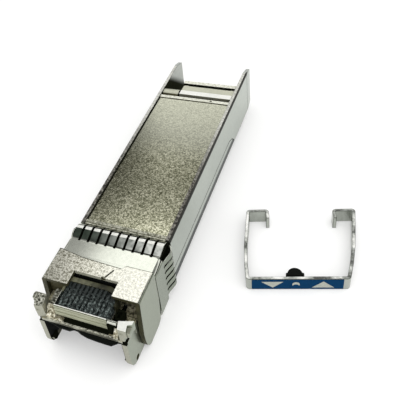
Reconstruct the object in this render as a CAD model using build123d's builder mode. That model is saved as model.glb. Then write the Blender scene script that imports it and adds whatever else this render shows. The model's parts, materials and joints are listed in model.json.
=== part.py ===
"""Optical transceiver module, small pluggable form factor, with its bail lying beside it.

Row frame, millimetres: +X to the module's right, +Y from the optical port to the host end, +Z up.
The origin is on the flat underside, under the shoulder where the nose meets the caged body.
"""

import os
from math import cos, radians, sin

from build123d import *

os.makedirs("parts", exist_ok=True)

# ---- caged body ----
body_w = 13.4
body_h = 8.5
body_l = 47.5
wall = 0.7
half_w = body_w / 2
inner_w = half_w - wall
cover_y0 = 6.0
cover_y1 = 36.65
cover_panel_z = 8.2
cover_under_z = 7.6
tray_top_z = 2.75
tray_y1 = 36.3
floor_t = 0.8
skirt_z0 = 0.5
joint_gap = 0.1
edge_break = 0.2
edge_drop = 0.4
low_break = 0.55
skirt_break_y = 45.1

# ---- shielding collar ----
collar_y0 = 0.15
collar_y1 = 2.75
collar_w = 6.85
collar_z0 = -0.12
collar_z1 = 8.63
collar_t = 0.2
finger_pitch = 1.31
finger_w = 0.95
side_pitch = 1.18
side_finger_w = 0.82
finger_y1 = 5.85
finger_rise = 0.42

# ---- nose ----
nose_w = 6.8
nose_top_z = 9.4
nose_under_z = 8.9
nose_y0 = -4.7
nose_bottom_z = -0.25
cheek_in = 6.15
notch_w = 3.08
notch_y1 = -2.55

# ---- port frame ----
frame_w = 6.1
frame_y0 = -8.4
deck_z0 = 5.9
deck_z1 = 6.3
lug_z = 8.7
arm_in_front = 5.4
arm_in_rear = 5.65

# ---- optical ports ----
port_x = 3.125
port_half = 2.25
port_z0 = 1.15
port_z1 = 5.6
port_zc = 3.375

# ---- board ----
pcb_z0 = 2.25
pcb_t = 1.0
pcb_y0 = 12.5
pcb_y1 = 44.3
pcb_w = 10.6
edge_w = 9.2
contact_pitch = 0.8
pcb_top = pcb_z0 + pcb_t

# ---- release lever ----
pivot_y = -2.6
pivot_z = 0.4
pin_r = 0.22
bore_r = 0.26
boss_h = 0.45

# ---- loose bail ----
bail_x = 22.53
bail_y = 9.69
bail_z = -0.45
bail_turn = 16.9
bail_w = 13.4
bail_arm = 12.23
bail_splay_left = -2.8
bail_splay_right = 11.8
bail_bow = 0.3
bail_hook = 2.75
bail_tip = 1.5
bail_h = 2.2
bail_t = 0.45
bail_plane = Plane(
    origin=(bail_x, bail_y, bail_z),
    x_dir=(cos(radians(bail_turn)), sin(radians(bail_turn)), 0),
    z_dir=(0, 0, 1),
)


def block(x0, x1, y0, y1, z0, z1, mode=Mode.ADD):
    """A box from its six faces."""
    with Locations(((x0 + x1) / 2, (y0 + y1) / 2, (z0 + z1) / 2)):
        Box(x1 - x0, y1 - y0, z1 - z0, mode=mode)


def side_profile(points, x0, x1, mode=Mode.ADD):
    """A (y, z) outline carried from x0 to x1."""
    with BuildSketch(Plane.YZ.offset(x0)) as outline:
        with BuildLine():
            Polyline(*points, close=True)
        make_face()
    extrude(outline.sketch, amount=x1 - x0, mode=mode)


def front_profile(points, y0, y1, mode=Mode.ADD):
    """An (x, z) outline carried from y0 to y1."""
    with BuildSketch(Plane.XZ.offset(-y0)) as outline:
        with BuildLine():
            Polyline(*points, close=True)
        make_face()
    extrude(outline.sketch, amount=-(y1 - y0), mode=mode)


def plan_profile(points, z0, z1, mode=Mode.ADD):
    """An (x, y) outline carried from z0 to z1."""
    with BuildSketch(Plane.XY.offset(z0)) as outline:
        with BuildLine():
            Polyline(*points, close=True)
        make_face()
    extrude(outline.sketch, amount=z1 - z0, mode=mode)


def rod_x(y, z, r, x0, x1, mode=Mode.ADD):
    """A round bar along X."""
    with Locations(Location(((x0 + x1) / 2, y, z), (0, 90, 0))):
        Cylinder(r, x1 - x0, mode=mode)


def rod_y(x, z, r, y0, y1, mode=Mode.ADD):
    """A round bar along Y."""
    with Locations(Location((x, (y0 + y1) / 2, z), (90, 0, 0))):
        Cylinder(r, y1 - y0, mode=mode)


def rod_z(x, y, r, z0, z1, mode=Mode.ADD):
    """A round bar along Z."""
    with Locations((x, y, (z0 + z1) / 2)):
        Cylinder(r, z1 - z0, mode=mode)


def save(piece, name):
    """Names a piece and writes its file."""
    piece.part.label = name
    export_step(piece.part, "parts/" + name + ".step")


# The parting line runs level along the flank and turns down to the bottom edge near the rear.
tray_line = [
    (cover_y0, tray_top_z),
    (32.6, tray_top_z),
    (33.8, 2.55),
    (34.8, 2.1),
    (35.6, 1.45),
    (36.1, 0.75),
    (tray_y1, 0.0),
]

# ---- upper housing: flanks, rear skirts, front sleeve under the collar ----
housing_flank = [(y, z + joint_gap) for y, z in tray_line[:-1]]
housing_flank = housing_flank + [
    (tray_y1 + 0.05, skirt_z0),
    (body_l - 0.9, skirt_z0),
    (body_l, skirt_z0 + 0.5),
    (body_l, 7.55),
    (body_l - 0.15, 7.8),
    (skirt_break_y, body_h),
    (cover_y0, body_h),
]
with BuildPart() as base_housing:
    for x0 in (-half_w, inner_w):
        side_profile(housing_flank, x0, x0 + wall)
    # Ledges that carry the cover, and the sleeve that the collar grips.
    block(-inner_w, -inner_w + 0.5, cover_y0 - 0.1, cover_y1, 7.1, cover_under_z)
    block(inner_w - 0.5, inner_w, cover_y0 - 0.1, cover_y1, 7.1, cover_under_z)
    block(-6.35, 6.35, 3.1, cover_y0 + 0.3, tray_top_z + joint_gap, 8.1)
    block(-inner_w, inner_w, cover_y0, cover_y0 + 0.3, 7.6, body_h - 0.15)
    block(-6.6, 6.6, 0.3, 3.1, tray_top_z + joint_gap, 8.38)
    block(-5.9, 5.9, 0.2, cover_y0 + 0.4, tray_top_z, 7.4, mode=Mode.SUBTRACT)
    for side in (-1, 1):
        front_profile([(side * 6.7, 8.0), (side * 6.7, 8.5), (side * 6.1, 8.5)], 0.2, 3.1, mode=Mode.SUBTRACT)
    # Broken upper edges along both flanks.
    for side in (-1, 1):
        front_profile(
            [
                (side * (half_w - edge_break), body_h + 0.1),
                (side * (half_w - edge_break), body_h),
                (side * half_w, body_h - edge_drop),
                (side * (half_w + 0.1), body_h - edge_drop),
                (side * (half_w + 0.1), body_h + 0.1),
            ],
            cover_y0 - 0.1,
            body_l + 0.1,
            mode=Mode.SUBTRACT,
        )
    # Slight lead-in on the outside of both skirts, set off by a fine groove.
    for side in (-1, 1):
        plan_profile(
            [
                (side * (half_w - 0.06), skirt_break_y),
                (side * (half_w + 0.1), skirt_break_y),
                (side * (half_w + 0.1), body_l + 0.1),
                (side * (half_w - 0.14), body_l + 0.1),
                (side * (half_w - 0.01), skirt_break_y + 0.14),
            ],
            0,
            body_h + 0.1,
            mode=Mode.SUBTRACT,
        )
save(base_housing, "base_housing")

# ---- lower tray ----
tray_flank = [(cover_y0, 0.0)] + tray_line
with BuildPart() as bottom_tray:
    for x0 in (-half_w, inner_w):
        side_profile(tray_flank, x0, x0 + wall)
    block(-inner_w, inner_w, cover_y0, tray_y1, 0, floor_t)
    block(-6.35, 6.35, 3.1, cover_y0, 0.4, tray_top_z)
    block(-6.6, 6.6, 0.3, 3.1, 0.12, tray_top_z)
    block(-5.9, 5.9, 0.2, cover_y0 + 0.1, 0.82, tray_top_z + 0.1, mode=Mode.SUBTRACT)
    for side in (-1, 1):
        front_profile([(side * 6.7, 0.5), (side * 6.7, 0.0), (side * 6.1, 0.0)], 0.2, 3.1, mode=Mode.SUBTRACT)
    # Slot that the release lever and its boss work in.
    block(-1.95, 1.95, 0.2, 4.1, 0, 1.0, mode=Mode.SUBTRACT)
    # Lower edges are broken all along, below a shallow step.
    for side in (-1, 1):
        front_profile(
            [
                (side * (half_w + 0.1), -0.1),
                (side * (half_w - 0.5), -0.1),
                (side * (half_w - 0.5), 0),
                (side * (half_w - 0.04), low_break),
                (side * (half_w - 0.04), 1.75),
                (side * (half_w + 0.1), 1.75),
            ],
            cover_y0,
            tray_y1,
            mode=Mode.SUBTRACT,
        )
    # Two countersunk holes for the closing screws.
    for x in (-4.9, 4.9):
        rod_z(x, 31.0, 0.62, -0.1, 0.45, mode=Mode.SUBTRACT)
        rod_z(x, 31.0, 0.42, -0.1, floor_t + 0.1, mode=Mode.SUBTRACT)
save(bottom_tray, "bottom_tray")

with BuildPart() as closing_screws:
    for x in (-4.9, 4.9):
        rod_z(x, 31.0, 0.58, 0.05, 0.42)
        rod_z(x, 31.0, 0.38, 0.42, 2.0)
        block(x - 0.4, x + 0.4, 30.92, 31.08, 0, 0.2, mode=Mode.SUBTRACT)
        block(x - 0.08, x + 0.08, 30.6, 31.4, 0, 0.2, mode=Mode.SUBTRACT)
save(closing_screws, "closing_screws")

# ---- top cover: sunk panel, raised rear rim, pedestal over the controller ----
with BuildPart() as top_cover:
    block(-5.98, 5.98, cover_y0 + 0.32, cover_y1, cover_under_z, cover_panel_z)
    block(-5.98, 5.98, 36.0, cover_y1, cover_under_z, cover_panel_z + 0.12)
    block(-5.98, 5.98, cover_y0 + 0.32, cover_y0 + 0.8, cover_under_z, body_h - 0.08)
    block(-2.4, 2.4, 22.0, 27.0, 4.8, cover_under_z)
    block(2.75, 3.1, 36.15, 36.45, cover_panel_z, body_h, mode=Mode.SUBTRACT)
save(top_cover, "top_cover")

# ---- rear cross pieces between the skirts ----
with BuildPart() as rear_bridge:
    block(-2.95, 5.98, 37.3, 38.4, 7.3, 8.42)
    block(-2.95, 5.98, 38.4, 39.85, 7.3, 8.3)
    block(-2.95, 5.98, 38.4, 38.52, 8.0, 8.35, mode=Mode.SUBTRACT)
save(rear_bridge, "rear_bridge")

with BuildPart() as rear_bar:
    block(-3.2, 5.98, 40.45, 41.25, 7.5, 8.35)
    block(-2.95, -2.2, 39.85, 40.45, 7.5, 7.9)
    block(5.2, 5.98, 39.85, 40.45, 7.5, 7.9)
save(rear_bar, "rear_bar")

with BuildPart() as rear_pad:
    side_profile(
        [(37.15, 7.3), (37.15, 7.85), (37.4, 8.2), (37.8, 8.32), (38.3, 8.32), (38.75, 8.1), (38.85, 7.3)],
        -5.98,
        -3.2,
    )
save(rear_pad, "rear_pad")

# ---- shielding collar: smooth band and a ring of sprung fingers ----
finger_line = [
    (collar_y1 - 0.05, 0.0),
    (3.15, 0.02),
    (4.5, finger_rise),
    (5.0, finger_rise),
    (5.35, 0.24),
    (finger_y1, -0.16),
]
finger_under = [(y, h - collar_t) for y, h in reversed(finger_line)]
finger_outline = finger_line + finger_under
low_outline = [(y, 0.6 * h) for y, h in finger_line]
low_outline = low_outline + [(y, 0.6 * (h + collar_t) - collar_t) for y, h in finger_under]
with BuildPart() as emi_collar:
    with BuildSketch(Plane.XZ.offset(-collar_y0)):
        with Locations((0, (collar_z0 + collar_z1) / 2)):
            RectangleRounded(2 * collar_w, collar_z1 - collar_z0, 0.6)
            RectangleRounded(
                2 * (collar_w - collar_t),
                collar_z1 - collar_z0 - 2 * collar_t,
                0.4,
                mode=Mode.SUBTRACT,
            )
    extrude(amount=-(collar_y1 - collar_y0))
    for i in range(10):
        x0 = (i - 4.5) * finger_pitch - finger_w / 2
        side_profile([(y, collar_z1 + h) for y, h in finger_outline], x0, x0 + finger_w)
        if i not in (3, 4, 5, 6):
            side_profile([(y, collar_z0 - h) for y, h in low_outline], x0, x0 + finger_w)
    for i in range(6):
        z0 = 4.69 + (i - 2.5) * side_pitch - side_finger_w / 2 - 0.1
        plan_profile([(collar_w + h, y) for y, h in finger_outline], z0, z0 + side_finger_w)
        plan_profile([(-collar_w - h, y) for y, h in finger_outline], z0, z0 + side_finger_w)
    block(-1.95, 1.95, 0, collar_y1 + 0.1, -0.5, 0.5, mode=Mode.SUBTRACT)
save(emi_collar, "emi_collar")

# ---- nose shell: top with a central notch, two cheeks ----
cheek_outline = [
    (0.1, nose_top_z),
    (nose_y0, nose_top_z),
    (-5.25, 3.6),
    (-5.2, 2.0),
    (-4.95, 0.8),
    (-4.5, 0.1),
    (-4.05, nose_bottom_z),
    (-1.2, nose_bottom_z),
    (-0.4, 0.2),
    (0.1, 3.8),
]
# Rear edge of the nose top: oblique on the left, set back over the middle, straight on the right.
rear_edge = [(-6.9, 0.4), (-6.2, 0.4), (-3.13, -0.17), (2.61, -0.46), (3.1, 0.12), (6.9, 0.12)]
recess_outline = rear_edge[1:5] + [(3.1, 0.5), (-6.2, 0.5)]
rebate_outline = rear_edge + [(x, y - 0.15) for x, y in reversed(rear_edge)]
slit_outline = [(1.05, -2.4), (1.22, -2.5), (1.9, -1.12), (1.73, -1.02)]
with BuildPart() as nose_shell:
    side_profile(cheek_outline, cheek_in, nose_w)
    side_profile(cheek_outline, -nose_w, -cheek_in)
    block(-nose_w, nose_w, nose_y0, 0.1, nose_under_z, nose_top_z)
    block(-cheek_in, cheek_in, -0.75, 0.1, deck_z1 + 0.05, nose_under_z)
    plan_profile([(-nose_w, 0.0), (-nose_w, 0.4), (-6.2, 0.4), (-4.4, 0.0)], nose_under_z, nose_top_z)
    fillet(edges().filter_by(Axis.Y).group_by(Axis.Z)[-1].sort_by(Axis.X)[0], 0.3)
    fillet(edges().filter_by(Axis.Y).group_by(Axis.Z)[-1].sort_by(Axis.X)[-1], 0.3)
    block(-notch_w, notch_w, nose_y0 - 1, notch_y1, 8.0, nose_top_z + 0.1, mode=Mode.SUBTRACT)
    plan_profile(recess_outline, 9.15, nose_top_z + 0.1, mode=Mode.SUBTRACT)
    # Fine rebate all along the rear edge.
    plan_profile(rebate_outline, nose_top_z - 0.1, nose_top_z + 0.1, mode=Mode.SUBTRACT)
    rod_z(0.96, notch_y1 - 0.02, 0.28, nose_under_z + 0.1, nose_top_z + 0.1, mode=Mode.SUBTRACT)
    plan_profile(slit_outline, 9.2, 9.5, mode=Mode.SUBTRACT)
save(nose_shell, "nose_shell")

# ---- port frame: two arms, deck and front lugs ----
arm_outline = [
    (-0.8, 0.0),
    (-6.0, 0.0),
    (-6.9, 0.05),
    (-7.6, 0.25),
    (-8.1, 0.7),
    (-8.3, 1.15),
    (frame_y0, 1.7),
    (frame_y0, deck_z1),
    (-0.8, deck_z1),
]
arm_front = [
    (-5.3, 0.15),
    (-6.9, 0.1),
    (-7.6, 0.3),
    (-8.1, 0.75),
    (-8.3, 1.2),
    (frame_y0, 1.7),
    (frame_y0, 5.95),
    (-5.3, 5.95),
]
foot_outline = [(-7.2, 0.9), (-7.7, 0.7), (-8.1, 1.1), (-8.2, 1.6), (-7.2, 1.9)]
lug_notch = [(frame_y0 - 0.1, 7.4), (frame_y0 - 0.1, 8.1), (frame_y0 + 0.35, 7.9)]


# Plan outlines of the front lugs; each steps outward at its rear.
left_lug = [
    (-4.95, -8.15),
    (-6.05, -8.38),
    (-6.35, -7.7),
    (-6.85, -7.3),
    (-6.95, -6.65),
    (-6.8, -6.4),
    (-5.25, -6.4),
]
right_lug = [
    (4.98, -7.27),
    (5.3, -8.36),
    (6.4, -8.36),
    (6.22, -7.5),
    (6.75, -7.25),
    (6.8, -6.7),
    (6.05, -6.95),
]


def slit_profile(side):
    """Section of the dark slit between a lug and the arm below it."""
    return [
        (side * 5.45, 5.85),
        (side * 5.55, 6.2),
        (side * 6.0, 6.5),
        (side * 6.02, 7.3),
        (side * 7.0, 7.3),
        (side * 7.0, 5.85),
    ]


with BuildPart() as port_frame:
    for side in (-1, 1):
        xs = sorted((side * arm_in_rear, side * frame_w))
        side_profile(arm_outline, xs[0], xs[1])
        xs = sorted((side * arm_in_front, side * arm_in_rear))
        side_profile(arm_front, xs[0], xs[1])
        # Inward foot at the lower front corner.
        xs = sorted((side * 5.05, side * 5.45))
        side_profile(foot_outline, xs[0], xs[1])
        plan_profile(left_lug if side < 0 else right_lug, deck_z1 - 0.05, lug_z)
        # Lower shoulder in front of the right lug's step.
        if side > 0:
            block(6.1, 6.72, -8.2, -7.0, deck_z1 - 0.05, 8.2)
        # Notch in the lug's front, and the slit under it round the outer corner.
        xs = sorted((side * 5.5, side * 5.9))
        side_profile(lug_notch, xs[0], xs[1], mode=Mode.SUBTRACT)
        front_profile(slit_profile(side), frame_y0 - 0.1, -6.75, mode=Mode.SUBTRACT)
        xs = sorted((side * 5.3, side * 7.0))
        block(xs[0], xs[1], frame_y0 - 0.1, frame_y0 + 0.3, 5.55, 5.88, mode=Mode.SUBTRACT)
        # Pocket for the bail's hook, low on the outer face.
        xs = sorted((side * (frame_w - 0.25), side * (frame_w + 0.1)))
        rod_x(-6.75, 0.55, 0.42, xs[0], xs[1], mode=Mode.SUBTRACT)
        # Seats of the lever pin.
        rod_x(pivot_y, pivot_z, pin_r + 0.01, side * 5.8 - 0.2, side * 5.8 + 0.2, mode=Mode.SUBTRACT)
    block(-frame_w + 0.5, frame_w - 0.5, frame_y0, -0.8, deck_z0, deck_z1)
    block(-frame_w, frame_w, -6.75, -0.8, deck_z0, deck_z1)
    # Low lip along the front edge of the deck.
    block(-5.0, 5.0, frame_y0, frame_y0 + 0.26, deck_z1, deck_z1 + 0.06)
    # Long openings in the deck beside the insert.
    for side in (-1, 1):
        xs = sorted((side * 3.75, side * 4.35))
        block(xs[0], xs[1], -5.0, -3.4, deck_z0 - 0.1, deck_z1 + 0.1, mode=Mode.SUBTRACT)
save(port_frame, "port_frame")

# ---- dark lip with a wavy front edge, under the deck, and its linings inside the arms ----
lip_outline = [
    (-5.3, -7.6),
    (-5.3, -8.35),
    (-4.0, -8.45),
    (-3.0, -8.75),
    (-1.5, -8.75),
    (-1.0, -8.45),
    (-0.5, -8.5),
    (0.0, -8.72),
    (1.0, -8.95),
    (2.6, -9.05),
    (4.3, -9.05),
    (4.7, -8.7),
    (5.05, -8.42),
    (5.3, -8.4),
    (5.3, -7.6),
]
lining_outline = [
    (-5.4, 1.2),
    (-7.1, 1.2),
    (-7.1, 1.95),
    (-8.15, 1.95),
    (-8.3, 2.3),
    (-8.3, 5.54),
    (-8.05, 5.6),
    (-5.4, 5.6),
]
with BuildPart() as port_lip:
    plan_profile(lip_outline, 5.62, deck_z0)
    for side in (-1, 1):
        xs = sorted((side * 5.28, side * arm_in_front))
        side_profile(lining_outline, xs[0], xs[1])
        xs = sorted((side * 5.28, side * 5.3))
        block(xs[0], xs[1], -8.3, -7.6, 5.5, 5.7)
save(port_lip, "port_lip")

# ---- ribbed insert in its metal carrier ----
rim_outline = [
    (-3.85, -5.4),
    (-3.85, -3.3),
    (-3.3, -2.85),
    (2.2, -2.85),
    (3.2, -3.3),
    (3.85, -4.4),
    (3.85, -5.4),
]
insert_plan = [
    (-3.5, -7.5),
    (-3.5, -3.55),
    (1.9, -3.55),
    (2.9, -3.9),
    (3.5, -4.8),
    (3.5, -7.5),
]
with BuildPart() as insert_carrier:
    block(-3.6, 3.6, -7.4, -3.7, 7.0, 7.4)
    block(-3.6, 3.6, -7.65, -7.4, 7.1, 8.72)
    block(-3.6, 3.6, -7.65, -7.52, 8.7, 8.9)
    block(-3.6, 3.6, -7.8, -7.65, 7.1, 7.7)
    block(-3.6, 3.6, -7.74, -7.65, 7.85, 8.35)
    block(-3.6, 3.6, -7.72, -7.65, 8.45, 8.8)
    block(-3.6, -3.5, -7.4, -5.4, 7.4, 8.9)
    plan_profile(rim_outline, 7.05, 8.5)
    plan_profile(insert_plan, 7.4, 8.6, mode=Mode.SUBTRACT)
    for side in (-1, 1):
        xs = sorted((side * 2.0, side * 3.3))
        block(xs[0], xs[1], -4.7, -3.8, deck_z1, 7.05)
save(insert_carrier, "insert_carrier")

# Dark plinth that shows as a band below the front bar.
with BuildPart() as insert_plinth:
    block(-2.6, 3.6, -8.12, -7.4, deck_z1, 6.42)
    block(-2.6, 3.6, -7.7, -5.0, deck_z1, 6.98)
    # Pedestal at the right end that carries the pin.
    block(3.5, 3.7, -7.7, -7.1, deck_z1, 6.9)
    block(3.62, 4.3, -7.9, -7.1, deck_z1, 8.25)
    block(4.3, 4.9, -7.85, -7.15, 7.9, 8.25)
    rod_x(-7.5, 8.4, 0.28, 3.6, 4.95, mode=Mode.SUBTRACT)
save(insert_plinth, "insert_plinth")

# Dark baffle that closes the bay behind the insert.
with BuildPart() as bay_baffle:
    block(-6.1, 6.1, -2.45, -2.2, deck_z1 + 0.02, nose_under_z - 0.02)
    block(-3.0, 3.0, -2.52, -2.45, 7.0, nose_under_z - 0.02)
    block(-6.1, -4.1, -4.3, -2.45, deck_z1 + 0.02, 8.6)
save(bay_baffle, "bay_baffle")

rib_count = 11
rib_pitch = 0.62
with BuildPart() as ribbed_insert:
    plan_profile(
        [(-3.45, -7.38), (-3.45, -3.6), (1.85, -3.6), (2.85, -3.95), (3.45, -4.85), (3.45, -7.38)],
        7.42,
        8.35,
    )
    for i in range(rib_count):
        x = (i - (rib_count - 1) / 2) * rib_pitch
        trim = {10: 1.35, 9: 0.65}.get(i, 0.1)
        block(x - 0.18, x + 0.18, -7.36, -3.6 - trim, 8.3, 8.7)
    # Short offset ribs break up the rear half.
    for i in range(rib_count - 2):
        x = (i - (rib_count - 1) / 2 + 0.5) * rib_pitch
        for j in range(2):
            y = -4.35 - 0.62 * j - 0.2 * (i % 2)
            block(x - 0.2, x + 0.2, y - 0.2, y, 8.3, 8.55 + 0.08 * ((i + j) % 2))
    block(-0.6, 3.42, -5.55, -5.4, 8.45, 8.8, mode=Mode.SUBTRACT)
save(ribbed_insert, "ribbed_insert")

# ---- metal parts beside the insert ----
clip_outline = [
    (-8.2, deck_z1),
    (-6.9, deck_z1),
    (-6.9, 6.6),
    (-7.2, 6.7),
    (-7.05, 7.4),
    (-6.85, 7.6),
    (-7.0, 7.8),
    (-7.4, 7.65),
    (-7.75, 7.0),
    (-8.2, 6.65),
]


def ground_clip(side, tab_x, foot_x):
    """A bent contact tab from tab_x outward, standing on a foot that reaches to foot_x."""
    xs = sorted((side * tab_x, side * 4.95))
    side_profile(clip_outline, xs[0], xs[1])
    xs = sorted((side * foot_x, side * 4.95))
    block(xs[0], xs[1], -8.2, -7.95, deck_z1, 6.62)
    slot_x = side * (tab_x + 0.4)
    block(slot_x - 0.15, slot_x + 0.15, -8.3, -7.75, deck_z1 + 0.35, 7.1, mode=Mode.SUBTRACT)


with BuildPart() as ground_clip_left:
    ground_clip(-1, 3.75, 2.7)
save(ground_clip_left, "ground_clip_left")

with BuildPart() as ground_clip_right:
    ground_clip(1, 4.32, 4.32)
save(ground_clip_right, "ground_clip_right")


with BuildPart() as post_left:
    block(-4.95, -4.0, -6.75, -4.6, deck_z1, 7.75)
    for y in (-6.45, -6.05, -5.65):
        block(-5.1, -3.9, y - 0.1, y + 0.1, 7.0, 8.0, mode=Mode.SUBTRACT)
save(post_left, "post_left")

with BuildPart() as post_right:
    block(4.0, 4.85, -6.6, -5.1, deck_z1, 7.7)
    block(4.2, 4.65, -6.3, -5.4, 7.2, 8.0, mode=Mode.SUBTRACT)
    for x in (4.02, 4.75):
        block(x, x + 0.1, -6.5, -5.9, 7.7, 8.0)
save(post_right, "post_right")

with BuildPart() as side_pin:
    rod_x(-7.5, 8.4, 0.27, 3.65, 4.88)
save(side_pin, "side_pin")

# ---- optical receptacle with two square ports ----
with BuildPart() as port_receptacle:
    block(-5.62, 5.62, -4.9, 4.6, 0.85, 5.85)
    for x in (-port_x, port_x):
        block(x - port_half, x + port_half, -5.0, 2.9, port_z0, port_z1, mode=Mode.SUBTRACT)
        rod_y(x, port_zc, 1.32, 2.5, 4.7, mode=Mode.SUBTRACT)
    block(-1.95, 1.95, -5.0, 4.7, 0.5, 1.0, mode=Mode.SUBTRACT)
    block(-0.6, 0.6, -5.0, 4.7, 0.9, 1.6, mode=Mode.SUBTRACT)
    block(-5.7, 5.7, pivot_y - 0.4, pivot_y + 0.4, 0.5, 0.86, mode=Mode.SUBTRACT)
save(port_receptacle, "port_receptacle")


def ferrule_sleeve(x):
    """A stepped sleeve that takes the plug's ferrule."""
    rod_y(x, port_zc, 0.95, -0.6, 3.0)
    rod_y(x, port_zc, 1.3, 3.0, 6.0)
    rod_y(x, port_zc, 0.63, -0.7, 4.6, mode=Mode.SUBTRACT)


with BuildPart() as sleeve_send:
    ferrule_sleeve(-port_x)
save(sleeve_send, "sleeve_send")

with BuildPart() as sleeve_receive:
    ferrule_sleeve(port_x)
save(sleeve_receive, "sleeve_receive")


def optical_can(x, length):
    """A turned can with a flange and a header."""
    rod_y(x, port_zc, 1.9, 6.0, 6.0 + length)
    rod_y(x, port_zc, 2.3, 6.6, 7.3)
    rod_y(x, port_zc, 2.25, 5.3 + length, 6.0 + length)


with BuildPart() as laser_can:
    optical_can(-port_x, 5.2)
save(laser_can, "laser_can")

with BuildPart() as detector_can:
    optical_can(port_x, 4.6)
save(detector_can, "detector_can")

with BuildPart() as can_clamp:
    block(-5.8, 5.8, 8.0, 9.4, 5.3, 5.9)
    block(-5.8, -5.2, 8.0, 9.4, floor_t, 5.3)
    block(5.2, 5.8, 8.0, 9.4, floor_t, 5.3)
    block(-0.5, 0.5, 8.0, 9.4, 3.0, 5.3)
save(can_clamp, "can_clamp")


def flex_lead(x, y0):
    """A thin folded lead from a can's back to the board."""
    block(x - 1.2, x + 1.2, y0, y0 + 0.15, 2.2, 4.9)
    side_profile(
        [
            (y0, 4.9),
            (y0 + 0.15, 4.75),
            (13.0, 3.4),
            (14.6, pcb_top + 0.12),
            (14.6, pcb_top),
            (12.9, pcb_top),
            (y0, 4.75),
        ],
        x - 1.2,
        x + 1.2,
    )


with BuildPart() as flex_send:
    flex_lead(-port_x, 11.2)
save(flex_send, "flex_send")

with BuildPart() as flex_receive:
    flex_lead(port_x, 10.6)
save(flex_receive, "flex_receive")

# ---- board with its edge contacts ----
with BuildPart() as circuit_board:
    block(-pcb_w / 2, pcb_w / 2, pcb_y0, 38.0, pcb_z0, pcb_top)
    block(-edge_w / 2, edge_w / 2, 38.0, pcb_y1, pcb_z0, pcb_top)
    for x in (-4.9, 4.9):
        rod_z(x, 31.0, 0.45, pcb_z0 - 0.1, pcb_top + 0.1, mode=Mode.SUBTRACT)
    for side in (-1, 1):
        block(side * pcb_w / 2 - 0.5, side * pcb_w / 2 + 0.5, 19.5, 21.0, 2, 4, mode=Mode.SUBTRACT)
save(circuit_board, "circuit_board")


def edge_contacts(z0):
    """Ten flat contacts, two of them set long for first mating."""
    for i in range(10):
        x = (i - 4.5) * contact_pitch
        start = 41.0 if i in (0, 9) else 41.4
        block(x - 0.3, x + 0.3, start - 1.2, pcb_y1 - 0.3, z0, z0 + 0.05)


with BuildPart() as contacts_upper:
    edge_contacts(pcb_top)
save(contacts_upper, "contacts_upper")

with BuildPart() as contacts_lower:
    edge_contacts(pcb_z0 - 0.05)
save(contacts_lower, "contacts_lower")

with BuildPart() as controller_chip:
    block(-2.2, 2.2, 22.3, 26.7, pcb_top, pcb_top + 0.95)
    rod_z(-1.7, 22.8, 0.2, pcb_top + 0.9, pcb_top + 1.0, mode=Mode.SUBTRACT)
save(controller_chip, "controller_chip")

with BuildPart() as thermal_pad:
    block(-2.0, 2.0, 22.5, 26.5, pcb_top + 0.95, 4.8)
save(thermal_pad, "thermal_pad")

with BuildPart() as driver_chip:
    block(-4.4, -1.8, 16.0, 18.6, pcb_top, pcb_top + 0.8)
save(driver_chip, "driver_chip")

with BuildPart() as amplifier_chip:
    block(1.8, 4.4, 16.0, 18.6, pcb_top, pcb_top + 0.8)
save(amplifier_chip, "amplifier_chip")

with BuildPart() as memory_chip:
    block(-1.5, 1.5, 31.5, 34.5, pcb_top, pcb_top + 0.9)
    for i in range(4):
        x = -1.125 + i * 0.75
        block(x - 0.12, x + 0.12, 31.1, 31.5, pcb_top, pcb_top + 0.3)
        block(x - 0.12, x + 0.12, 34.5, 34.9, pcb_top, pcb_top + 0.3)
save(memory_chip, "memory_chip")

with BuildPart() as crystal_can:
    block(3.0, 4.6, 24.0, 26.4, pcb_top, pcb_top + 0.7)
save(crystal_can, "crystal_can")

with BuildPart() as passive_parts:
    for i in range(6):
        block(-4.5, -3.5, 21.8 + i * 1.3, 22.3 + i * 1.3, pcb_top, pcb_top + 0.5)
        block(-2.6 + i, -2.1 + i, 28.4, 29.4, pcb_top, pcb_top + 0.5)
    for i in range(4):
        block(-1.0 + i * 0.7, -0.6 + i * 0.7, 19.6, 20.6, pcb_top, pcb_top + 0.4)
save(passive_parts, "passive_parts")

# ---- release lever under the nose ----
with BuildPart() as release_lever:
    block(-1.6, 1.6, -2.3, 3.3, 0.05, 0.35)
    rod_x(pivot_y, pivot_z, 0.44, -1.6, 1.6)
    block(-1.6, 1.6, -4.4, -2.9, 0.05, 0.35)
    # Latching boss: square shoulder to the rear, ramp to the front.
    plan_profile([(-0.5, 0.0), (0.5, 0.0), (1.3, 1.6), (1.3, 2.5), (-1.3, 2.5), (-1.3, 1.6)], -boss_h, 0.06)
    side_profile([(-0.1, -0.5), (0.9, -0.5), (-0.1, 0.0)], -1.4, 1.4, mode=Mode.SUBTRACT)
    rod_x(pivot_y, pivot_z, bore_r, -1.7, 1.7, mode=Mode.SUBTRACT)
save(release_lever, "release_lever")

with BuildPart() as lever_pin:
    rod_x(pivot_y, pivot_z, pin_r, -5.95, 5.95)
save(lever_pin, "lever_pin")

spring_z0 = 0.38
spring_z1 = 1.5
with BuildPart() as lever_spring:
    with BuildLine():
        Helix(pitch=0.24, height=spring_z1 - spring_z0 - 0.2, radius=0.36, center=(0, 1.6, spring_z0 + 0.1))
    with BuildSketch(Plane(origin=(0.36, 1.6, spring_z0 + 0.1), z_dir=(0, 1, 0.1))):
        Circle(0.07)
    sweep(is_frenet=True)
save(lever_spring, "lever_spring")

# ---- loose bail: folded strip, label, direction marks, rest pad ----
bail_hw = bail_w / 2 - bail_t / 2


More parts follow.
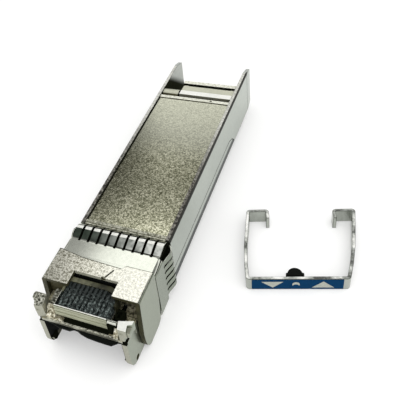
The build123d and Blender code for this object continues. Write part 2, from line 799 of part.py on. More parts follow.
def bail_arm_line(side, splay):
    """One arm from the strip to the end of its hook, bowed slightly outward."""
    lean = sin(radians(splay))
    reach = cos(radians(splay))
    root = (side * bail_hw, bail_t / 2)
    points = [root]
    for part, bow in ((0.2, 0.75), (0.45, 1.0), (0.75, 0.5)):
        along = bail_arm * part
        out = along * lean + bail_bow * bow
        points.append((root[0] + side * out, root[1] + along * reach))
    tip_x = root[0] + side * bail_arm * lean
    tip_y = root[1] + bail_arm * reach
    points.append((tip_x, tip_y))
    points.append((tip_x - side * bail_hook, tip_y))
    points.append((tip_x - side * bail_hook, tip_y - bail_tip))
    return points


bail_path = list(reversed(bail_arm_line(-1, bail_splay_left))) + bail_arm_line(1, bail_splay_right)
with BuildPart() as bail_strip:
    with BuildSketch(bail_plane):
        with BuildLine():
            FilletPolyline(*bail_path, radius=0.3)
        trace(line_width=bail_t)
    extrude(amount=bail_h)
save(bail_strip, "bail_strip")

with BuildPart(bail_plane) as bail_label:
    with Locations((-0.05, -0.03, bail_h / 2)):
        Box(11.8, 0.06, bail_h - 0.3)
save(bail_label, "bail_label")

marks_plane = Plane(
    origin=bail_plane.from_local_coords((0, -0.06, 0)),
    x_dir=bail_plane.x_dir,
    z_dir=-bail_plane.y_dir,
)
down_mark = [(-4.68, 1.72), (-1.85, 1.72), (-3.2, 0.5)]
up_mark = [(1.85, 0.5), (4.65, 0.5), (3.28, 1.76)]
with BuildPart() as bail_marks:
    with BuildSketch(marks_plane):
        for outline in (down_mark, up_mark):
            with BuildLine():
                Polyline(*outline, close=True)
            make_face()
        with Locations((-0.2, 1.15)):
            Circle(0.48)
            with Locations((0, -0.38)):
                Circle(0.42, mode=Mode.SUBTRACT)
    extrude(amount=0.03)
save(bail_marks, "bail_marks")

pad_plane = Plane(origin=bail_plane.from_local_coords((-0.25, 0, 1.0)), x_dir=bail_plane.x_dir)
with BuildPart(bail_plane) as bail_pad:
    with BuildSketch(pad_plane):
        with Locations((0, 0.8)):
            Rectangle(2.35, 0.7)
        with Locations((0, 1.0)):
            Circle(0.98)
        with Locations((0, 0.25)):
            Rectangle(4, 2.5 - 2 * 0.8, mode=Mode.SUBTRACT)
    extrude(amount=1.1)
save(bail_pad, "bail_pad")
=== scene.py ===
"""Looks of the optical transceiver module and its loose bail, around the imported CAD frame."""

import json
import math

import bmesh
import bpy
from mathutils import Matrix, Vector


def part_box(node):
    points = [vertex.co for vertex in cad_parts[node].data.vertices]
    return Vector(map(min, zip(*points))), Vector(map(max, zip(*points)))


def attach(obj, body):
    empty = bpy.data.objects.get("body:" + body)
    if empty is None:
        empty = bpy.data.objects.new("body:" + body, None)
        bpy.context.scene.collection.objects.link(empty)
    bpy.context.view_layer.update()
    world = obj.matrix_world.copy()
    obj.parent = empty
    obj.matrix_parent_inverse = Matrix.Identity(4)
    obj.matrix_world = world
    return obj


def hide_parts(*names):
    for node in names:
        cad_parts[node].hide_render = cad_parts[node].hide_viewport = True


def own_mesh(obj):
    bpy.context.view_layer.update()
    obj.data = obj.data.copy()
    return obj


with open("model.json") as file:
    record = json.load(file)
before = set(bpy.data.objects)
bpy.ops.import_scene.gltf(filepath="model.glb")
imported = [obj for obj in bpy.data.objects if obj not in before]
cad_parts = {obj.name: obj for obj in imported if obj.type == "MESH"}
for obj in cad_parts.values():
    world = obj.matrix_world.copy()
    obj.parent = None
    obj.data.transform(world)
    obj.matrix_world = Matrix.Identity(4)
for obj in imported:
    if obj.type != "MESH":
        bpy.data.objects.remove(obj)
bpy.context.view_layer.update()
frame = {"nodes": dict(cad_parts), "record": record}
MM = 0.001
# Where the grain turns from pit to body to crest on its noise, and how deep its relief is.
PIT_AT, BODY_AT, CREST_AT = 0.38, 0.5, 0.62
GRAIN_DEPTH_MM = 0.08

# ---------------------------------------------------------------- materials


def new_material(name):
    """A material with only a Principled shader; returns material, node tree and shader."""
    mat = bpy.data.materials.new(name)
    mat.use_nodes = True
    tree = mat.node_tree
    tree.nodes.clear()
    out = tree.nodes.new("ShaderNodeOutputMaterial")
    shader = tree.nodes.new("ShaderNodeBsdfPrincipled")
    tree.links.new(shader.outputs["BSDF"], out.inputs["Surface"])
    return mat, tree, shader


def noise(tree, per_mm, detail=3.0, rough=0.55, stretch=(1, 1, 1)):
    """Noise fixed to the piece, with about per_mm features in a millimetre."""
    coord = tree.nodes.new("ShaderNodeTexCoord")
    mapping = tree.nodes.new("ShaderNodeMapping")
    mapping.inputs["Scale"].default_value = [s / MM for s in stretch]
    tex = tree.nodes.new("ShaderNodeTexNoise")
    tex.inputs["Scale"].default_value = per_mm
    tex.inputs["Detail"].default_value = detail
    tex.inputs["Roughness"].default_value = rough
    tree.links.new(coord.outputs["Object"], mapping.inputs["Vector"])
    tree.links.new(mapping.outputs["Vector"], tex.inputs["Vector"])
    return tex.outputs["Fac"]


def along(tree, direction, low_mm, high_mm, at_low, at_high):
    """A level that changes with the position along a direction of the piece."""
    coord = tree.nodes.new("ShaderNodeTexCoord")
    dot = tree.nodes.new("ShaderNodeVectorMath")
    dot.operation = "DOT_PRODUCT"
    dot.inputs[1].default_value = direction
    tree.links.new(coord.outputs["Object"], dot.inputs[0])
    fade = tree.nodes.new("ShaderNodeMapRange")
    fade.interpolation_type = "SMOOTHSTEP"
    tree.links.new(dot.outputs["Value"], fade.inputs[0])
    for index, number in enumerate((low_mm * MM, high_mm * MM, at_low, at_high)):
        fade.inputs[1 + index].default_value = number
    return fade.outputs[0]


def ramp(tree, value, stops):
    """A colour ramp over (position, colour) stops."""
    node = tree.nodes.new("ShaderNodeValToRGB")
    elements = node.color_ramp.elements
    while len(elements) < len(stops):
        elements.new(0.5)
    for element, (at, colour) in zip(elements, stops):
        element.position = at
        element.color = (*colour, 1)
    tree.links.new(value, node.inputs["Fac"])
    return node.outputs["Color"]


def mix(tree, a, b, factor, blend="MIX"):
    """Two colours mixed by a number or a socket."""
    node = tree.nodes.new("ShaderNodeMix")
    node.data_type = "RGBA"
    node.blend_type = blend
    if isinstance(factor, (int, float)):
        node.inputs[0].default_value = factor
    else:
        tree.links.new(factor, node.inputs[0])
    tree.links.new(a, node.inputs[6])
    tree.links.new(b, node.inputs[7])
    return node.outputs[2]


def bump(tree, shader, height, strength, distance_mm):
    """Fine relief under the shader's normal."""
    node = tree.nodes.new("ShaderNodeBump")
    node.inputs["Strength"].default_value = strength
    node.inputs["Distance"].default_value = distance_mm * MM
    tree.links.new(height, node.inputs["Height"])
    tree.links.new(node.outputs["Normal"], shader.inputs["Normal"])


def tint(colour, factor):
    """A colour made lighter or darker."""
    return [c * factor for c in colour]


def rough_cast(name, dark, mid, light, per_mm, metallic, roughness, relief, fade=None, rear=None):
    """As-cast metal: coarse grain from pits to crests, turning along a direction into a plainer
    tone of painted light, lighter or darker, if one is given.
    """
    mat, tree, shader = new_material(name)
    grain = noise(tree, per_mm, 4.0, 0.72)
    tone = ramp(tree, grain, [(PIT_AT, dark), (BODY_AT, mid), (CREST_AT, light)])
    broad = ramp(tree, noise(tree, 0.16, 3.0), [(0.35, (0.78, 0.78, 0.76)), (0.62, (1, 1, 1))])
    tone = mix(tree, tone, broad, 0.7, "MULTIPLY")
    # The fade paints a lighting change: a plainer tone blended in along a direction.
    if fade:
        painted_light_end = ramp(tree, grain, [(0.36, tint(rear, 0.64)), (0.64, tint(rear, 1.18))])
        tone = mix(tree, tone, painted_light_end, along(tree, *fade, 0.0, 1.0))
    tree.links.new(tone, shader.inputs["Base Color"])
    shader.inputs["Metallic"].default_value = metallic
    shader.inputs["Roughness"].default_value = roughness
    bump(tree, shader, grain, relief, GRAIN_DEPTH_MM)
    return mat


def satin_metal(name, colour, roughness, metallic=1.0, stretch=(1, 1, 1), per_mm=2.5):
    """Machined, plated or formed metal: faint streaks and clouding."""
    mat, tree, shader = new_material(name)
    streaks = noise(tree, per_mm, 4.0, 0.6, stretch)
    fine = ramp(tree, streaks, [(0.3, tint(colour, 0.88)), (0.7, colour)])
    broad = ramp(tree, noise(tree, 0.2, 3.0), [(0.35, (0.9, 0.91, 0.9)), (0.65, (1, 1, 1))])
    tree.links.new(mix(tree, fine, broad, 0.7, "MULTIPLY"), shader.inputs["Base Color"])
    shader.inputs["Metallic"].default_value = metallic
    shader.inputs["Roughness"].default_value = roughness
    bump(tree, shader, streaks, 0.02, 0.02)
    return mat


def plastic(name, colour, roughness, grain=0.05, metallic=0.0, light=None, per_mm=4.0, ior=1.4):
    """Moulded plastic, film, rubber or a shaded cast surface; an ior of 1 makes it fully matt."""
    mat, tree, shader = new_material(name)
    fine = noise(tree, per_mm, 4.0, 0.6)
    tone = ramp(tree, fine, [(0.32, tint(colour, 0.75)), (0.7, light or colour)])
    tree.links.new(tone, shader.inputs["Base Color"])
    shader.inputs["Roughness"].default_value = roughness
    shader.inputs["Metallic"].default_value = metallic
    shader.inputs["IOR"].default_value = ior
    bump(tree, shader, fine, grain, 0.03)
    return mat


def skirt_metal(name, colour, shade):
    """Inner face of a skirt: clear metal above, painted shade darkening it towards the closed
    space below.
    """
    mat, tree, shader = new_material(name)
    clear = ramp(tree, noise(tree, 1.2), [(0.3, tint(colour, 0.9)), (0.7, colour)])
    deep = ramp(tree, noise(tree, 1.2), [(0.3, shade), (0.7, tint(shade, 1.4))])
    blend = mix(tree, deep, clear, along(tree, (0, 0.855, 1), 43.1, 44.9, 0.0, 1.0))
    tree.links.new(blend, shader.inputs["Base Color"])
    shader.inputs["IOR"].default_value = 1.0
    shader.inputs["Roughness"].default_value = 0.6
    return mat


def light_ramp_metal_painted(name, left, right, x0, x1):
    """Patchy metal with painted light: one tone on the left turning to another on the right, as
    light falls across it.
    """
    mat, tree, shader = new_material(name)
    blend = ramp(tree, along(tree, (1, 0, 0), x0, x1, 0.0, 1.0), [(0.0, left), (1.0, right)])
    patches = [(0.36, (0.45, 0.47, 0.45)), (0.62, (1.25, 1.25, 1.25))]
    patchy = ramp(tree, noise(tree, 0.9, 2.0), patches)
    tone = mix(tree, blend, patchy, 1.0, "MULTIPLY")
    tree.links.new(tone, shader.inputs["Base Color"])
    shader.inputs["Metallic"].default_value = 0.25
    shader.inputs["Roughness"].default_value = 0.35
    return mat


paint = {
    "die_cast": satin_metal("die_cast", (0.46, 0.48, 0.42), roughness=0.3),
    "flank": satin_metal("flank", (0.44, 0.475, 0.425), roughness=0.28),
    "cheek": satin_metal("cheek", (0.30, 0.33, 0.26), roughness=0.28),
    "low_shade": satin_metal("low_shade", (0.055, 0.065, 0.06), roughness=0.4),
    # Painted shade: the inner face of the skirts darkens towards the bottom.
    "skirt_inner": skirt_metal("skirt_inner", (0.52, 0.54, 0.51), (0.012, 0.013, 0.008)),
    # Painted light: the finger fronts dark on the left, lit on the right.
    "finger_light_ramp_paint": light_ramp_metal_painted(
        "finger_light_ramp_paint",
        left=(0.02, 0.03, 0.02),
        right=(0.55, 0.56, 0.53),
        x0=-5.0,
        x1=7.5,
    ),
    # Painted light: the wall tops turn paler and plainer towards the rear.
    "wall_top": rough_cast(
        "wall_top",
        dark=(0.02, 0.02, 0.02),
        mid=(0.16, 0.15, 0.13),
        light=(0.50, 0.49, 0.44),
        per_mm=3.0,
        metallic=0.8,
        roughness=0.4,
        relief=0.4,
        fade=((0, 1, 0), 16, 34),
        rear=(0.80, 0.80, 0.74),
    ),
    "rim_cast": rough_cast(
        "rim_cast",
        dark=(0.16, 0.16, 0.11),
        mid=(0.55, 0.55, 0.44),
        light=(0.80, 0.79, 0.68),
        per_mm=3.0,
        metallic=0.9,
        roughness=0.35,
        relief=0.3,
    ),
    "skirt_tip": plastic(
        "skirt_tip",
        (0.48, 0.50, 0.47),
        roughness=0.5,
        grain=0.02,
        metallic=0.2,
    ),
    # Painted highlight: a paler copy of the cast rim for the rear rim and the rear bar's top.
    "rim_highlight_paint": rough_cast(
        "rim_highlight_paint",
        dark=(0.50, 0.50, 0.40),
        mid=(0.78, 0.78, 0.68),
        light=(0.90, 0.90, 0.82),
        per_mm=3.0,
        metallic=0.3,
        roughness=0.4,
        relief=0.1,
    ),
    # Painted light: the speckled cover turns to an even, plainer tone towards the rear.
    "cast_cover": rough_cast(
        "cast_cover",
        dark=(0.09, 0.092, 0.05),
        mid=(0.42, 0.42, 0.29),
        light=(0.88, 0.86, 0.68),
        per_mm=4.2,
        metallic=1.0,
        roughness=0.15,
        relief=0.03,
        fade=((0, 1, 0), 19, 28),
        rear=(0.48, 0.485, 0.39),
    ),
    # Painted light: the nose top speckled and darker on the left, an even pale tone towards the
    # right.
    "nose_cast": rough_cast(
        "nose_cast",
        dark=(0.16, 0.15, 0.10),
        mid=(0.68, 0.67, 0.57),
        light=(0.98, 0.96, 0.86),
        per_mm=3.6,
        metallic=1.0,
        roughness=0.15,
        relief=0.03,
        fade=((1, 0, 0), -3.0, 4.0),
        rear=(0.66, 0.655, 0.585),
    ),
    "lug_cast": rough_cast(
        "lug_cast",
        dark=(0.02, 0.02, 0.012),
        mid=(0.28, 0.28, 0.22),
        light=(0.80, 0.80, 0.72),
        per_mm=3.0,
        metallic=0.6,
        roughness=0.38,
        relief=0.5,
    ),
    "deck_cast": rough_cast(
        "deck_cast",
        dark=(0.03, 0.027, 0.012),
        mid=(0.30, 0.28, 0.18),
        light=(0.62, 0.58, 0.42),
        per_mm=2.8,
        metallic=0.3,
        roughness=0.5,
        relief=0.5,
    ),
    "rail_cast": rough_cast(
        "rail_cast",
        dark=(0.10, 0.10, 0.08),
        mid=(0.55, 0.55, 0.46),
        light=(0.90, 0.89, 0.80),
        per_mm=3.4,
        metallic=0.5,
        roughness=0.4,
        relief=0.4,
    ),
    "tan_cast": rough_cast(
        "tan_cast",
        dark=(0.06, 0.045, 0.015),
        mid=(0.50, 0.47, 0.34),
        light=(0.95, 0.93, 0.82),
        per_mm=2.4,
        metallic=0.4,
        roughness=0.45,
        relief=0.5,
    ),
    # Painted dark reflection: a dark line on chamfers and broken edges.
    "edge_dark_reflection_paint": plastic(
        "edge_dark_reflection_paint",
        (0.012, 0.013, 0.008),
        roughness=0.5,
        grain=0.1,
        metallic=0.3,
    ),
    # Painted shade: matt black for gaps, slots, undersides and hollows in shadow.
    "gap_shade_paint": plastic("gap_shade_paint", (0.006, 0.007, 0.004), roughness=0.8, grain=0.05, ior=1.0),
    "olive_shade": plastic(
        "olive_shade",
        (0.028, 0.028, 0.012),
        roughness=0.55,
        grain=0.2,
        metallic=0.3,
        light=(0.07, 0.066, 0.03),
        per_mm=1.2,
    ),
    # Painted light: the rim behind the insert lit on the left, going into shade on the right.
    "olive_rim_light_ramp_paint": light_ramp_metal_painted(
        "olive_rim_light_ramp_paint",
        left=(0.17, 0.17, 0.11),
        right=(0.03, 0.03, 0.014),
        x0=-3.4,
        x1=1.5,
    ),
    # Painted shade: dark olive for the face in the left bay, in shadow.
    "bay_shade_paint_olive": plastic(
        "bay_shade_paint_olive",
        (0.045, 0.042, 0.016),
        roughness=0.6,
        grain=0.3,
        metallic=0.1,
        light=(0.12, 0.11, 0.055),
        per_mm=0.9,
    ),
    "front_face": satin_metal("front_face", (0.36, 0.36, 0.29), roughness=0.4, metallic=0.7),
    # Painted highlight: near-white on top faces and crests where the light catches.
    "highlight_paint_white": satin_metal("highlight_paint_white", (0.95, 0.95, 0.90), roughness=0.35, metallic=0.5),
    "beige_metal": satin_metal("beige_metal", (0.62, 0.62, 0.50), roughness=0.38, metallic=0.5),
    "collar_steel": satin_metal("collar_steel", (0.64, 0.655, 0.585), roughness=0.1),
    "collar_side": satin_metal("collar_side", (0.26, 0.29, 0.23), roughness=0.25),
    "bright_steel": satin_metal(
        "bright_steel",
        (0.66, 0.67, 0.60),
        roughness=0.25,
        metallic=1.0,
        stretch=(0.2, 1, 1),
    ),
    "bar_steel": satin_metal(
        "bar_steel",
        (0.37, 0.38, 0.27),
        roughness=0.35,
        metallic=0.4,
        stretch=(0.2, 1, 1),
    ),
    "dark_plastic": plastic("dark_plastic", (0.006, 0.007, 0.006), roughness=0.6, ior=1.1),
    # Painted shade: the ribbed insert darkens towards its rear, under the nose top.
    "ribbed_dark": rough_cast(
        "ribbed_dark",
        dark=(0.003, 0.005, 0.005),
        mid=(0.018, 0.026, 0.024),
        light=(0.19, 0.23, 0.22),
        per_mm=3.2,
        metallic=0.2,
        roughness=0.5,
        relief=0.8,
        fade=((0, 1, 0), -6.2, -4.0),
        rear=(0.014, 0.020, 0.019),
    ),
    "sleeve_ceramic": plastic("sleeve_ceramic", (0.82, 0.82, 0.78), roughness=0.15),
    "can_metal": satin_metal("can_metal", (0.72, 0.68, 0.58), roughness=0.25),
    "board": plastic("board", (0.01, 0.11, 0.04), roughness=0.3, grain=0.02),
    "gold": satin_metal("gold", (0.83, 0.58, 0.2), roughness=0.28),
    "chip": plastic("chip", (0.015, 0.015, 0.017), roughness=0.55, grain=0.15),
    "flex": plastic("flex", (0.42, 0.16, 0.02), roughness=0.3),
    "pad": plastic("pad", (0.30, 0.34, 0.42), roughness=0.7),
    "bail_metal": satin_metal(
        "bail_metal",
        (0.42, 0.44, 0.40),
        roughness=0.25,
        metallic=1.0,
        stretch=(1, 1, 0.2),
    ),
    # Painted sheen: bright and dark patches standing for reflections on the strip's upper edge.
    "bail_sheen_paint": rough_cast(
        "bail_sheen_paint",
        dark=(0.10, 0.105, 0.095),
        mid=(0.44, 0.46, 0.43),
        light=(0.95, 0.95, 0.92),
        per_mm=0.4,
        metallic=0.3,
        roughness=0.35,
        relief=0.03,
    ),
    "label_blue": plastic("label_blue", (0.0, 0.034, 0.10), roughness=0.45, grain=0.03, ior=1.1),
    "mark_pale": plastic("mark_pale", (0.40, 0.42, 0.37), roughness=0.6, grain=0.05),
}

# ---------------------------------------------------------------- CAD pieces with finished edges

slot_of = {row["node"]: row["material_slot"] for row in frame["record"]["subparts"]}
body_of = {}
for body, members in frame["record"]["behaviour"]["bodies"].items():
    for member in members:
        body_of[member] = body


# A face looks straight along an axis when that component of its normal passes FLAT.
FLAT = 0.9
# Places on the module, in millimetres.
COLLAR_END_Y = 5.95
COVER_RIM_END_Y = 6.4
COVER_REAR_Y = 35.5
BRIDGE_FRONT_Y = 37.4
BAR_FRONT_Y = 40
SKIRT_FROM_Y = 20
SKIRT_BEVEL_Y = 44.9
SKIRT_TIP_Y = 45
WALL_EDGE_X = 6.1
FLANK_X = 6.4
LOW_STEP_Z = 1.3
PARTING_Z = 3
TOP_Z = 8.3
RIM_Z = 8.25
COLLAR_HALF_W = 6.8
COLLAR_HALF_H = 4.4
COLLAR_MID_Z = 4.25
COLLAR_SIDE_X = 6.5
CREST_Z = 8.9
NOSE_TOP_Z = 9.25
NOSE_RECESS_Z = 9.1
REBATE_LOW_Z, REBATE_HIGH_Z = 9.28, 9.32
CHEEK_X = 6.6
ARM_FACE_X = 5.9
LUG_TOP_Z = 8.5
DECK_LOW_Z, DECK_HIGH_Z, LIP_HIGH_Z = 6.2, 6.32, 6.45
BAR_REAR_Y, BAR_FACE_Y = -7.3, -7.6
BAR_CREST_Z, BAR_STEP_Z = 8.8, 8.6


def housing_zone(c, n):
    """Finish of a face of the upper housing or the tray, with painted shade in the gaps and on the
    lower strip and a painted dark reflection on the chamfers.
    """
    # Painted shade on the sleeve under the collar fingers.
    if c.y < COLLAR_END_Y:
        return "gap_shade_paint"
    # Painted dark reflection on the wall chamfers and a painted dark line on the skirt lead-in.
    if abs(n.x) > 0.3 and abs(n.z) > 0.3 and abs(c.x) > WALL_EDGE_X:
        return "edge_dark_reflection_paint"
    if abs(n.x) > 0.5 and n.y < -0.2 and c.y > SKIRT_BEVEL_Y:
        return "edge_dark_reflection_paint"
    if abs(n.x) > FLAT and abs(c.x) > FLANK_X:
        return "low_shade" if c.z < LOW_STEP_Z else "flank"
    if abs(n.x) > FLAT and n.x * c.x < 0 and c.y > SKIRT_FROM_Y:
        return "skirt_inner"
    if n.z > FLAT and c.z > TOP_Z:
        return "wall_top" if c.y > COVER_RIM_END_Y or abs(c.x) > 6 else "rim_cast"
    if c.y > SKIRT_TIP_Y and n.z > 0.2:
        return "skirt_tip"
    # Painted shade in the parting gap between housing and tray.
    if abs(n.z) > 0.4 and c.z < PARTING_Z and abs(c.x) > 6:
        return "gap_shade_paint"
    return None


def cover_zone(c, n):
    """Rough panel, a painted highlight on the rear rim, painted shade on the rear riser."""
    if n.z > FLAT and c.y > COVER_REAR_Y:
        return "rim_highlight_paint" if c.z > RIM_Z else None
    if n.z > FLAT and c.z > TOP_Z:
        return "rim_cast"
    if c.y > COVER_REAR_Y and n.y < -FLAT and c.z > 8.2:
        return "olive_shade"
    return None


def bridge_zone(c, n):
    """Painted highlight on the upper bands, beige on the lower band, a plain front face, painted
    shade on the other sides.
    """
    if n.z < FLAT:
        return "front_face" if c.y < BRIDGE_FRONT_Y and n.y < -FLAT else "gap_shade_paint"
    if c.y > BAR_FRONT_Y:
        return "rim_highlight_paint"
    return "highlight_paint_white" if c.z > 8.38 else "beige_metal"


def pad_zone(c, n):
    """Painted shade on the front slope and black painted shade on the ends."""
    if abs(n.x) > FLAT:
        return "gap_shade_paint"
    return "olive_shade" if n.y < -0.4 else None


def baffle_zone(c, n):
    """Olive painted shade on the face in the left bay."""
    return "bay_shade_paint_olive" if c.x < -4 else None


def collar_zone(c, n):
    """Plated outside, painted shade under the fingers, painted light across the finger fronts, a
    painted highlight on the crests.
    """
    outward = n.x * c.x / COLLAR_HALF_W + n.z * (c.z - COLLAR_MID_Z) / COLLAR_HALF_H
    if outward < 0 and abs(n.y) < 0.95:
        return "gap_shade_paint"
    if 3.0 < c.y < 4.6 and n.z > 0.5 and n.y < -0.1:
        return "finger_light_ramp_paint"
    if 4.4 < c.y < 5.1 and n.z > FLAT and c.z > CREST_Z:
        return "highlight_paint_white"
    if abs(n.z) < 0.5 and abs(c.x) > COLLAR_SIDE_X:
        return "collar_side"
    return None


def nose_zone(c, n):
    """Rough top with painted light across it, smooth cheeks, painted shade inside and on the
    front, a painted dark line along the rear step.
    """
    if n.z > FLAT and REBATE_LOW_Z < c.z < REBATE_HIGH_Z:
        return "olive_shade"
    if n.z > FLAT and c.z > NOSE_TOP_Z:
        return "nose_cast"
    if abs(n.x) > FLAT and abs(c.x) > CHEEK_X:
        return "cheek"
    if n.y > 0.7 and c.z > 9.15 and abs(c.x) < 6:
        return "edge_dark_reflection_paint"
    if n.z > FLAT and c.z > NOSE_RECESS_Z:
        return "collar_steel"
    if n.y > 0.7 or (abs(c.x) > 6.4 and n.y > -0.2):
        return "cheek"
    if n.y < -FLAT and abs(c.x) < 3 and c.y > -2.7 and c.z > 8.9:
        return "beige_metal"
    return "olive_shade"


def frame_zone(c, n):
    """Painted highlight on the right lug top, rough left lug top and deck, smooth outer sides,
    painted shade inside and in the notches.
    """
    outer = abs(c.x) > ARM_FACE_X and n.x * c.x > 0.5
    if n.z > FLAT and c.z > LUG_TOP_Z:
        return "lug_cast" if c.x < 0 else "highlight_paint_white"
    if c.z > 8.2 and c.x > 6.2 and n.y < -0.5 and c.y > -7.6:
        return "gap_shade_paint"
    if c.y < -6.5 and 5.84 < c.z < 6.72 and abs(c.x) > 5.4 and not n.y < -FLAT:
        return "gap_shade_paint"
    if c.y < -8.0 and 5.5 < c.z < 5.9 and abs(c.x) > 5.2:
        return "gap_shade_paint"
    if -7.3 < c.y < -6.2 and c.z < 1.1 and abs(c.x) < 6.05:
        return "olive_shade"
    if n.z > FLAT and DECK_LOW_Z < c.z < DECK_HIGH_Z:
        return "deck_cast"
    if n.z > FLAT and DECK_HIGH_Z < c.z < LIP_HIGH_Z:
        return "rail_cast"
    if outer:
        return "cheek"
    if n.y < -0.6:
        return "front_face"
    if c.z > 6.4:
        return "front_face"
    return "gap_shade_paint"


def carrier_zone(c, n):
    """Two-step bar with a painted highlight on its upper edge and painted shade on the step below
    it, olive rim behind the insert with painted light across it.
    """
    if c.y < BAR_REAR_Y and n.z > FLAT and c.z > BAR_CREST_Z:
        return "highlight_paint_white"
    if c.y < BAR_REAR_Y and n.z > FLAT and c.z > BAR_STEP_Z:
        return "gap_shade_paint"
    if c.y < BAR_FACE_Y:
        return "bar_steel"
    if c.y > -5.4 and c.z > 7.0:
        return "olive_rim_light_ramp_paint"
    return None


def bail_zone(c, n):
    """Painted sheen on the upper edge of the strip, greyer faces."""
    return "bail_sheen_paint" if n.z > FLAT else None


zones = {
    "base_housing": housing_zone,
    "bottom_tray": housing_zone,
    "top_cover": cover_zone,
    "rear_bridge": bridge_zone,
    "rear_bar": bridge_zone,
    "emi_collar": collar_zone,
    "nose_shell": nose_zone,
    "port_frame": frame_zone,
    "insert_carrier": carrier_zone,
    "bay_baffle": baffle_zone,
    "rear_pad": pad_zone,
    "bail_strip": bail_zone,
}
# The paint of each piece's broken edges, where it differs from its faces: a painted dark
# reflection line.
edge_paint = {
    "base_housing": "edge_dark_reflection_paint",
    "bottom_tray": "edge_dark_reflection_paint",
    "nose_shell": "edge_dark_reflection_paint",
    "bail_strip": "edge_dark_reflection_paint",
}
# The finish of a whole piece, where it differs from its material slot; the plinth and the right
# post are painted black as shade.
piece_finish_and_shade = {
    "rear_pad": "beige_metal",
    "insert_plinth": "gap_shade_paint",
    "ground_clip_left": "tan_cast",
    "ground_clip_right": "tan_cast",
    "post_left": "lug_cast",
    "post_right": "gap_shade_paint",
}


EDGE_SEGMENTS = 2
EDGE_ANGLE = math.radians(28)
FLAT_ANGLE = math.radians(0.8)
WELD_DISTANCE = 1e-7


def rounded(node, edge_mm):
    """A copy of a CAD node: flats rejoined, faces finished by zone with painted light and shade
    among the finishes, edges broken.
    """
    mesh = frame["nodes"][node].data.copy()
    mesh.name = node + "_fine"
    mesh.materials.clear()
    shape = bmesh.new()
    shape.from_mesh(mesh)
    bmesh.ops.remove_doubles(shape, verts=shape.verts, dist=WELD_DISTANCE)
    bmesh.ops.dissolve_limit(
        shape, angle_limit=FLAT_ANGLE, verts=shape.verts, edges=shape.edges
    )
    shape.normal_update()
    finishes = [piece_finish_and_shade.get(node, slot_of[node])]
    zone = zones.get(node)
    if zone:
        for face in shape.faces:
            finish = zone(face.calc_center_median() / MM, face.normal)
            if finish:
                if finish not in finishes:
                    finishes.append(finish)
                face.material_index = finishes.index(finish)
    for face in shape.faces:
        face.smooth = True
    shape.to_mesh(mesh)
    shape.free()
    edge = edge_paint.get(node)
    if edge and edge not in finishes:
        finishes.append(edge)
    for finish in finishes:
        mesh.materials.append(paint[finish])
    piece = bpy.data.objects.new(node + "_fine", mesh)
    bpy.context.scene.collection.objects.link(piece)
    mesh.set_sharp_from_angle(angle=EDGE_ANGLE)
    if edge_mm:
        bevel = piece.modifiers.new("edges", "BEVEL")
        bevel.width = edge_mm * MM
        bevel.segments = EDGE_SEGMENTS
        bevel.limit_method = "ANGLE"
        bevel.angle_limit = EDGE_ANGLE
        bevel.use_clamp_overlap = True
        # The bevels carry the painted dark reflection line.
        if edge:
            bevel.material = finishes.index(edge)
        weights = piece.modifiers.new("flats", "WEIGHTED_NORMAL")
        weights.mode = "FACE_AREA"
        weights.weight = 100
        weights.keep_sharp = False
    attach(piece, body_of[node])
    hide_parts(node)
    return piece


# Width of the broken edges on each piece, in millimetres.
edges = {
    "base_housing": 0.07,
    "bottom_tray": 0.07,
    "closing_screws": 0.03,
    "top_cover": 0.06,
    "rear_bridge": 0.05,
    "rear_bar": 0.05,
    "rear_pad": 0.06,
    "emi_collar": 0.045,
    "nose_shell": 0.07,
    "port_frame": 0.06,
    "port_lip": 0.05,
    "insert_carrier": 0.04,
    "insert_plinth": 0.04,
    "bay_baffle": 0.03,
    "ribbed_insert": 0.06,
    "ground_clip_left": 0.06,
    "ground_clip_right": 0.06,
    "post_left": 0.05,
    "post_right": 0.04,
    "side_pin": 0.03,
    "port_receptacle": 0.06,
    "sleeve_send": 0.05,
    "sleeve_receive": 0.05,
    "laser_can": 0.05,
    "detector_can": 0.05,
    "can_clamp": 0.06,
    "flex_send": 0.0,
    "flex_receive": 0.0,
    "circuit_board": 0.02,
    "contacts_upper": 0.01,
    "contacts_lower": 0.01,
    "controller_chip": 0.05,
    "thermal_pad": 0.04,
    "driver_chip": 0.04,
    "amplifier_chip": 0.04,
    "memory_chip": 0.03,
    "crystal_can": 0.05,
    "passive_parts": 0.03,
    "release_lever": 0.05,
    "lever_pin": 0.03,
    "lever_spring": 0.0,
    "bail_strip": 0.06,
    "bail_label": 0.01,
    "bail_marks": 0.0,
    "bail_pad": 0.08,
}
pieces = {node: rounded(node, width) for node, width in edges.items()}

spring = pieces["lever_spring"]
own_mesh(spring)

# ---------------------------------------------------------------- stage, light, camera

FLOOR_SIZE = 3.0
FLOOR_GAP = 0.02 * MM
floor_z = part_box("release_lever")[0].z - FLOOR_GAP

bpy.ops.mesh.primitive_plane_add(size=FLOOR_SIZE, location=(0, 0, floor_z))
floor = bpy.context.object
floor.name = "floor"
floor_mat, _, floor_shader = new_material("floor_white")
floor_shader.inputs["Base Color"].default_value = (0.68, 0.68, 0.68, 1)
floor_shader.inputs["Emission Color"].default_value = (1, 1, 1, 1)
floor_shader.inputs["Emission Strength"].default_value = 0.26
floor_shader.inputs["Roughness"].default_value = 0.9
floor_shader.inputs["Specular IOR Level"].default_value = 0.1
floor.data.materials.append(floor_mat)

# Strength of the even light that matt surfaces receive.
PLAIN_SKY = 0.95

world = bpy.data.worlds.new("studio")
bpy.context.scene.world = world
world.use_nodes = True
world.cycles.sampling_method = "NONE"
sky = world.node_tree
sky.nodes.clear()


def sky_node(kind, **inputs):
    """A world node with some inputs set by number or linked."""
    node = sky.nodes.new(kind)
    for key, value in inputs.items():
        socket = node.inputs[int(key[1:])]
        if isinstance(value, bpy.types.NodeSocket):
            sky.links.new(value, socket)
        else:
            socket.default_value = value
    return node


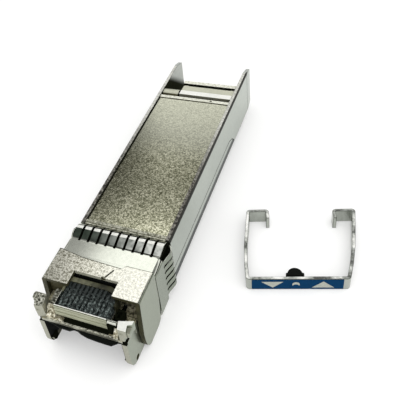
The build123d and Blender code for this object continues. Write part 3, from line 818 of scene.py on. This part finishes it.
def sky_math(operation, a, b):
    """One arithmetic step in the world."""
    node = sky_node("ShaderNodeMath", i0=a, i1=b)
    node.operation = operation
    return node.outputs[0]


def sky_fade(value, low, high, at_low, at_high):
    """A smooth change from one level to another."""
    node = sky_node("ShaderNodeMapRange")
    node.interpolation_type = "SMOOTHSTEP"
    sky.links.new(value, node.inputs[0])
    for index, number in enumerate((low, high, at_low, at_high)):
        node.inputs[1 + index].default_value = number
    return node.outputs[0]


def sky_toward(direction):
    """Cosine of the angle to a direction."""
    node = sky_node("ShaderNodeVectorMath", i0=looking, i1=Vector(direction).normalized())
    node.operation = "DOT_PRODUCT"
    return node.outputs["Value"]


# What polished metal mirrors: a bright panel high behind the host end, a pale band all round
# below it, a dark stand in front of both, dark lower walls, a dark ceiling with a faint lamp, and
# a pale wall on the port's side.
looking = sky_node("ShaderNodeTexCoord").outputs["Generated"]
height = sky_toward((0, 0, 1))
panel = sky_fade(sky_toward((-0.30, 0.50, 0.815)), 0.9903, 0.9951, 0.46, 1.75)
pale_band = sky_fade(height, 0.585, 0.69, 1.05, 0.0)
stand = sky_fade(sky_toward((-0.47, 0.635, 0.613)), 0.9885, 0.9950, 1.0, 0.1)
low_wall = sky_fade(height, 0.38, 0.52, 0.06, 1.0)
ceiling = sky_fade(height, 0.83, 0.895, 1.0, 0.12)
lamp = sky_fade(height, 0.92, 0.965, 0.0, 0.36)
near_wall = sky_fade(sky_toward((0, -1, 0)), 0.15, 0.75, 0.0, 0.75)
mirrored = sky_math("MULTIPLY", sky_math("ADD", panel, pale_band), stand)
mirrored = sky_math("MULTIPLY", sky_math("MULTIPLY", mirrored, low_wall), ceiling)
mirrored = sky_math("ADD", mirrored, lamp)
mirrored = sky_math("ADD", mirrored, near_wall)
glossy = sky_node("ShaderNodeLightPath").outputs["Is Glossy Ray"]
level = sky_node("ShaderNodeMix")
sky.links.new(glossy, level.inputs[0])
level.inputs[2].default_value = PLAIN_SKY
sky.links.new(mirrored, level.inputs[3])
glow = sky.nodes.new("ShaderNodeBackground")
glow.inputs["Color"].default_value = (1, 1, 0.985, 1)
sky.links.new(level.outputs[0], glow.inputs["Strength"])
sky.links.new(glow.outputs[0], sky.nodes.new("ShaderNodeOutputWorld").inputs["Surface"])


def soft_light(name, at_mm, aim_mm, size_mm, power):
    """A square soft box aimed at a point."""
    data = bpy.data.lights.new(name, "AREA")
    data.shape = "RECTANGLE"
    data.size = size_mm[0] * MM
    data.size_y = size_mm[1] * MM
    data.energy = power
    lamp = bpy.data.objects.new(name, data)
    bpy.context.scene.collection.objects.link(lamp)
    at = Vector(at_mm) * MM
    lamp.location = at
    lamp.rotation_euler = (Vector(aim_mm) * MM - at).to_track_quat("-Z", "Y").to_euler()
    lamp.visible_glossy = False
    return lamp


soft_light("top_box", (70, -70, 240), (8, 14, 0), (260, 260), 0.30)
soft_light("front_box", (40, -260, 130), (8, 10, 4), (200, 120), 0.08)
soft_light("right_box", (260, 20, 90), (8, 18, 4), (160, 100), 0.08)

camera_at = Vector((30.32, -41.08, 69.76)) * MM
look_at = Vector((5.53, -0.40, 29.12)) * MM
roll = math.radians(-12.0)
back = (camera_at - look_at).normalized()
right = Vector((0, 0, 1)).cross(back).normalized()
up = back.cross(right)
turn = Matrix.Rotation(roll, 3, back)
right, up = turn @ right, turn @ up
camera_data = bpy.data.cameras.new("photo_angle")
camera_data.lens = 54.82
camera_data.sensor_width = 36.0
camera_data.shift_x = 0.2054
camera_data.shift_y = -0.1135
camera_data.clip_start = 1 * MM
camera = bpy.data.objects.new("photo_angle", camera_data)
bpy.context.scene.collection.objects.link(camera)
axes = Matrix((right, up, back)).transposed().to_4x4()
camera.matrix_world = Matrix.Translation(camera_at) @ axes
bpy.context.scene.camera = camera
bpy.context.scene.view_settings.view_transform = "Standard"
